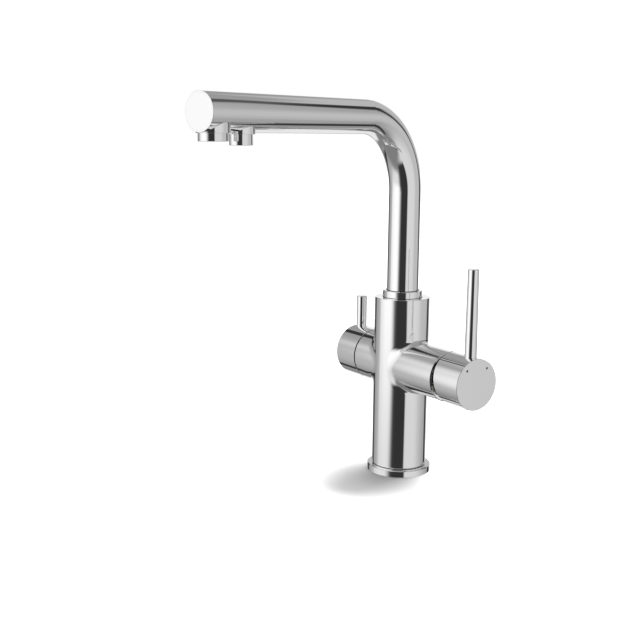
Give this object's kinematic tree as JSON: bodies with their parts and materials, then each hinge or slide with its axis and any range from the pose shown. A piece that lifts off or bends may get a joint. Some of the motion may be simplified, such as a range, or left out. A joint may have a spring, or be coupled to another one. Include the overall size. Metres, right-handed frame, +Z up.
{
  "type": "kitchen tap",
  "caption": "Deck-mounted kitchen tap with an L-shaped swivel spout, a mixer lever and a filtered water lever, and separate mixed and filtered outlets.",
  "frame": {"origin": "middle of the base, on the worktop's top face, over the middle of the hole in the worktop", "axes": "+Z up along the column, +X towards the mixer handle, -X towards the filtered water handle, -Y the front; the spout rests 17.75 degrees from -Y towards +X"},
  "size_m": [0.169, 0.2725, 0.33],
  "materials": {
    "chrome": "polished chrome plate on brass",
    "brass": "turned brass",
    "nickel": "dull nickel plate on brass",
    "copper": "drawn copper pipe",
    "steel": "stainless steel",
    "rubber": "black rubber",
    "slide_plastic": "white low-friction plastic",
    "cartridge_plastic": "grey glass-filled plastic",
    "ceramic": "lapped white ceramic",
    "insert_plastic": "pale grey moulded plastic",
    "mark": "dark enamel dot"
  },
  "bodies": {
    "tap_body": {"body": "chrome", "base_flange": "chrome", "base_gasket": "rubber", "spout_collar": "chrome", "upper_slide_ring": "slide_plastic", "lower_slide_ring": "slide_plastic", "cartridge_base": "cartridge_plastic", "cartridge_housing": "cartridge_plastic", "port_seals": "rubber", "fixed_ceramic_disc": "ceramic", "cartridge_nut": "nickel", "filter_valve_housing": "brass", "filter_fixed_disc": "ceramic", "filter_seat_seal": "rubber", "filter_flange_washer": "rubber"},
    "spout": {"spout_tube": "chrome", "spout_end_plug": "chrome", "spout_nipple": "brass", "spout_o_rings": "rubber", "filtered_water_tube": "copper", "mixed_outlet_boss": "chrome", "mixed_aerator_ring": "chrome", "mixed_aerator_insert": "insert_plastic", "mixed_aerator_washer": "rubber", "filtered_outlet_boss": "chrome", "filtered_aerator_ring": "chrome", "filtered_aerator_insert": "insert_plastic", "filtered_aerator_washer": "rubber"},
    "temperature_carrier": {"stem_carrier": "cartridge_plastic", "stem_pivot_pin": "steel"},
    "flow_disc": {"moving_ceramic_disc": "ceramic"},
    "mixer_handle": {"mixer_stem": "brass", "mixer_hub": "chrome", "mixer_lever": "chrome", "mixer_lever_screw": "steel", "mixer_grub_screw": "steel", "hot_mark": "mark", "cold_mark": "mark"},
    "filter_handle": {"filter_spindle": "brass", "filter_turning_disc": "ceramic", "filter_hub": "chrome", "filter_lever": "chrome", "filter_lever_screw": "steel", "filter_grub_screw": "steel"}
  },
  "joints": [
    {"name": "spout_swivel", "type": "hinge", "parent": "tap_body", "child": "spout", "pos_m": [0, 0, 0.134], "axis": [0, 0, 1], "continuous": true},
    {"name": "mixer_turn", "type": "hinge", "parent": "tap_body", "child": "temperature_carrier", "pos_m": [0.055, 0, 0.0995], "axis": [1, 0, 0], "range_deg": [-45, 45]},
    {"name": "mixer_tilt", "type": "hinge", "parent": "temperature_carrier", "child": "mixer_handle", "pos_m": [0.055, 0, 0.0995], "axis": [0, 1, 0], "range_deg": [0, 20]},
    {"name": "disc_slide", "type": "slide", "parent": "temperature_carrier", "child": "flow_disc", "axis": [0, 0, 1], "range_m": [0, 0.0034]},
    {"name": "filter_turn", "type": "hinge", "parent": "tap_body", "child": "filter_handle", "pos_m": [-0.05, 0, 0.0995], "axis": [1, 0, 0], "range_deg": [0, 90]}
  ],
  "couplings": [
    {"joint": "disc_slide", "follows": "mixer_tilt", "m_per_rad": 0.00935}
  ]
}
